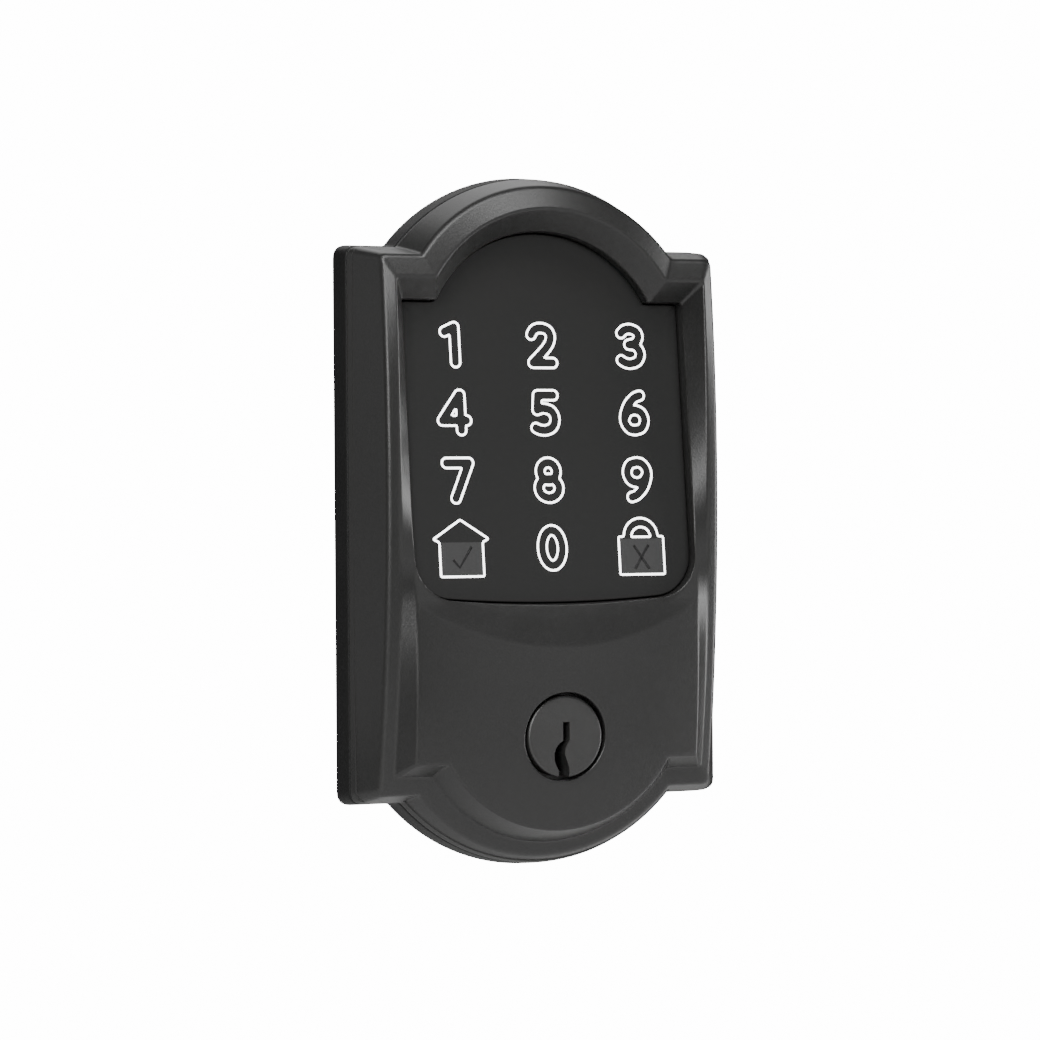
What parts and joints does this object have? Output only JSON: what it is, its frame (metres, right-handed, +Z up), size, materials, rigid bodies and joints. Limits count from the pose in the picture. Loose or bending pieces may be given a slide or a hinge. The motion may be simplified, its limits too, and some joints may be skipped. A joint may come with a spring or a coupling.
{
  "type": "keypad deadbolt outside unit",
  "caption": "Outside half of an electronic deadbolt: arched black cover with a recessed touch screen, bowed lower panel with a key cylinder, mounting plate and tailpiece.",
  "frame": {"origin": "on the door's face behind the middle of the unit, half way up", "axes": "+X to the right seen from the front, +Y into the door, +Z up"},
  "size_m": [0.0748, 0.0716, 0.127],
  "materials": {
    "matte_black_paint": "fine satin black powder coat on die-cast zinc",
    "black_rubber": "matte moulded",
    "smoked_lens": "fine matte hard-coated acrylic, printed black behind",
    "foam_tape": "closed-cell foam tape",
    "light_guide_acrylic": "milky acrylic",
    "circuit_board": "solder mask over glass-epoxy",
    "black_plastic": "fine moulded texture",
    "zinc_plated_steel": "zinc plated",
    "brass": "machined",
    "blackened_brass": "machined, blackened",
    "spring_wire": "drawn wire"
  },
  "bodies": {
    "housing": {"escutcheon": "matte_black_paint", "weather_seal": "black_rubber", "back_plate": "zinc_plated_steel", "plate_screw_1": "zinc_plated_steel", "plate_screw_2": "zinc_plated_steel", "plate_screw_3": "zinc_plated_steel", "plate_screw_4": "zinc_plated_steel", "mounting_post_left": "zinc_plated_steel", "mounting_post_right": "zinc_plated_steel", "cable_grommet": "black_rubber", "touch_lens": "smoked_lens", "lens_seal": "foam_tape", "light_guide": "light_guide_acrylic", "touch_board": "circuit_board", "touch_chip": "black_plastic", "buzzer": "black_plastic", "board_socket": "black_plastic", "keypad_carrier": "black_plastic", "carrier_screw_1": "zinc_plated_steel", "carrier_screw_2": "zinc_plated_steel", "carrier_screw_3": "zinc_plated_steel", "carrier_screw_4": "zinc_plated_steel", "cylinder_body": "brass", "cylinder_screw_1": "zinc_plated_steel", "cylinder_screw_2": "zinc_plated_steel", "pin_cover": "brass", "pin_spring_1": "spring_wire", "pin_spring_2": "spring_wire", "pin_spring_3": "spring_wire", "pin_spring_4": "spring_wire", "pin_spring_5": "spring_wire"},
    "plug": {"cylinder_plug": "blackened_brass", "plug_cap": "brass"},
    "tailpiece": {"tailpiece": "zinc_plated_steel"},
    "key_pin_1": {"key_pin_1": "brass"},
    "driver_pin_1": {"driver_pin_1": "brass"},
    "key_pin_2": {"key_pin_2": "brass"},
    "driver_pin_2": {"driver_pin_2": "brass"},
    "key_pin_3": {"key_pin_3": "brass"},
    "driver_pin_3": {"driver_pin_3": "brass"},
    "key_pin_4": {"key_pin_4": "brass"},
    "driver_pin_4": {"driver_pin_4": "brass"},
    "key_pin_5": {"key_pin_5": "brass"},
    "driver_pin_5": {"driver_pin_5": "brass"}
  },
  "joints": [
    {"name": "plug_turn", "type": "hinge", "parent": "housing", "child": "plug", "pos_m": [0, 0, -0.039], "axis": [0, 1, 0], "range_deg": [-90, 90]},
    {"name": "tailpiece_turn", "type": "hinge", "parent": "plug", "child": "tailpiece", "pos_m": [0, 0, -0.039], "axis": [0, 1, 0], "range_deg": [-90, 0]},
    {"name": "key_pin_1_slide", "type": "slide", "parent": "plug", "child": "key_pin_1", "axis": [0, 0, 1], "range_m": [-0.0012, 0]},
    {"name": "key_pin_2_slide", "type": "slide", "parent": "plug", "child": "key_pin_2", "axis": [0, 0, 1], "range_m": [-0.0012, 0]},
    {"name": "key_pin_3_slide", "type": "slide", "parent": "plug", "child": "key_pin_3", "axis": [0, 0, 1], "range_m": [-0.0012, 0]},
    {"name": "key_pin_4_slide", "type": "slide", "parent": "plug", "child": "key_pin_4", "axis": [0, 0, 1], "range_m": [-0.0012, 0]},
    {"name": "key_pin_5_slide", "type": "slide", "parent": "plug", "child": "key_pin_5", "axis": [0, 0, 1], "range_m": [-0.0012, 0]},
    {"name": "driver_pin_1_slide", "type": "slide", "parent": "housing", "child": "driver_pin_1", "axis": [0, 0, 1], "range_m": [0, 0.0018], "stiffness_N_per_m": 20, "springref_m": -0.008, "deforming": ["pin_spring_1"]},
    {"name": "driver_pin_2_slide", "type": "slide", "parent": "housing", "child": "driver_pin_2", "axis": [0, 0, 1], "range_m": [0, 0.0018], "stiffness_N_per_m": 20, "springref_m": -0.008, "deforming": ["pin_spring_2"]},
    {"name": "driver_pin_3_slide", "type": "slide", "parent": "housing", "child": "driver_pin_3", "axis": [0, 0, 1], "range_m": [0, 0.0018], "stiffness_N_per_m": 20, "springref_m": -0.008, "deforming": ["pin_spring_3"]},
    {"name": "driver_pin_4_slide", "type": "slide", "parent": "housing", "child": "driver_pin_4", "axis": [0, 0, 1], "range_m": [0, 0.0018], "stiffness_N_per_m": 20, "springref_m": -0.008, "deforming": ["pin_spring_4"]},
    {"name": "driver_pin_5_slide", "type": "slide", "parent": "housing", "child": "driver_pin_5", "axis": [0, 0, 1], "range_m": [0, 0.0018], "stiffness_N_per_m": 20, "springref_m": -0.008, "deforming": ["pin_spring_5"]}
  ]
}
